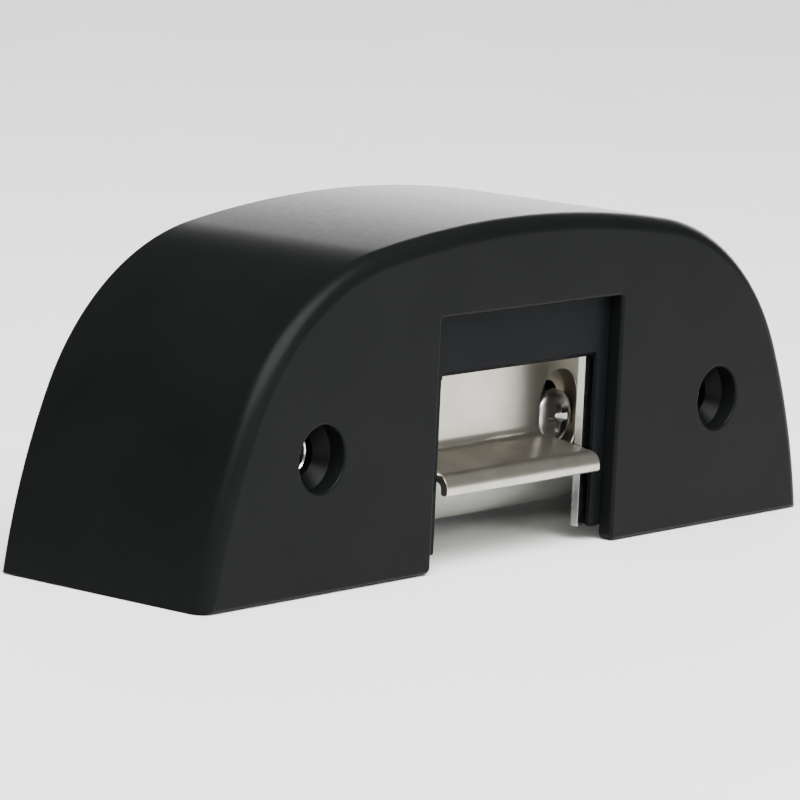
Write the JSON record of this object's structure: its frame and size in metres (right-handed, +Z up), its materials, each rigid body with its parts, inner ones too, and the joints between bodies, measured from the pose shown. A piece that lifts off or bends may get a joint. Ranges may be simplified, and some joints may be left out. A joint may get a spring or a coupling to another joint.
{
  "type": "electric door strike",
  "caption": "Surface-mounted electric door strike: black arch-shaped cover with a central notch, a hinged nickel keeper with a rolled lip, and an internal coil and armature lock.",
  "frame": {"origin": "bottom centre of the whole body: midway along the length, midway from the front face to the back rim, on the plane of the cover's straight base edge", "axes": "+X along the length, to the right seen from the front; +Y from the front face to the back; +Z up from the straight base edge to the crown of the arch"},
  "size_m": [0.132, 0.0362, 0.0475],
  "materials": {
    "satin_black_paint": "satin black powder coat on die-cast zinc",
    "black_surround": "satin black paint on pressed steel",
    "bright_zinc_plate": "bright zinc-plated steel sheet",
    "satin_nickel": "satin nickel plate on sintered steel",
    "screw_steel": "nickel-plated steel",
    "spring_steel": "drawn spring steel wire",
    "soft_iron": "dull plated soft iron",
    "enamelled_copper": "enamelled copper winding wire",
    "white_coil_tape": "pale grey-green insulating tape",
    "natural_nylon": "natural nylon moulding",
    "terminal_plastic": "dark grey moulded plastic",
    "black_rubber": "moulded black rubber",
    "red_insulation": "red wire insulation",
    "black_insulation": "black moulded plastic and wire insulation"
  },
  "bodies": {
    "housing": {"armature_pin": "screw_steel", "armature_spring": "spring_steel", "armature_stop": "black_rubber", "back_plate": "bright_zinc_plate", "back_plate_screw_1": "screw_steel", "back_plate_screw_2": "screw_steel", "back_plate_screw_3": "screw_steel", "back_plate_screw_4": "screw_steel", "cable_grommet": "black_rubber", "coil_bobbin": "natural_nylon", "coil_core": "soft_iron", "coil_lead_1": "red_insulation", "coil_lead_2": "black_insulation", "coil_tape": "white_coil_tape", "coil_winding": "enamelled_copper", "cover": "satin_black_paint", "fixing_sleeve_left": "bright_zinc_plate", "fixing_sleeve_right": "bright_zinc_plate", "frame_screw_left": "screw_steel", "frame_screw_right": "screw_steel", "keeper_pin": "screw_steel", "keeper_spring": "spring_steel", "pole_bracket_left": "soft_iron", "pole_bracket_right": "soft_iron", "pole_screw_left": "screw_steel", "pole_screw_right": "screw_steel", "retaining_ring_left": "spring_steel", "retaining_ring_right": "spring_steel", "strike_frame": "bright_zinc_plate", "suppressor_diode": "black_insulation", "surround": "black_surround", "terminal_block": "terminal_plastic", "terminal_screw_1": "screw_steel", "terminal_screw_2": "screw_steel", "tie_bar": "screw_steel"},
    "keeper_set": {"keeper": "satin_nickel", "keeper_carrier": "bright_zinc_plate", "keeper_screw_left": "screw_steel", "keeper_screw_right": "screw_steel"},
    "armature": {"armature": "soft_iron"}
  },
  "joints": [
    {"name": "keeper_swing", "type": "hinge", "parent": "housing", "child": "keeper_set", "pos_m": [0, -0.00085, 0.0295], "axis": [-1, 0, 0], "range_deg": [0, 15], "stiffness_Nm_per_rad": 0.05, "springref_deg": -20.05, "deforming": ["keeper_spring"]},
    {"name": "armature_swing", "type": "hinge", "parent": "housing", "child": "armature", "pos_m": [-0.0125, 0.01265, 0], "axis": [0, 0, 1], "range_deg": [-2.9, 0], "stiffness_Nm_per_rad": 0.02, "springref_deg": 5.73, "deforming": ["armature_spring"]}
  ]
}
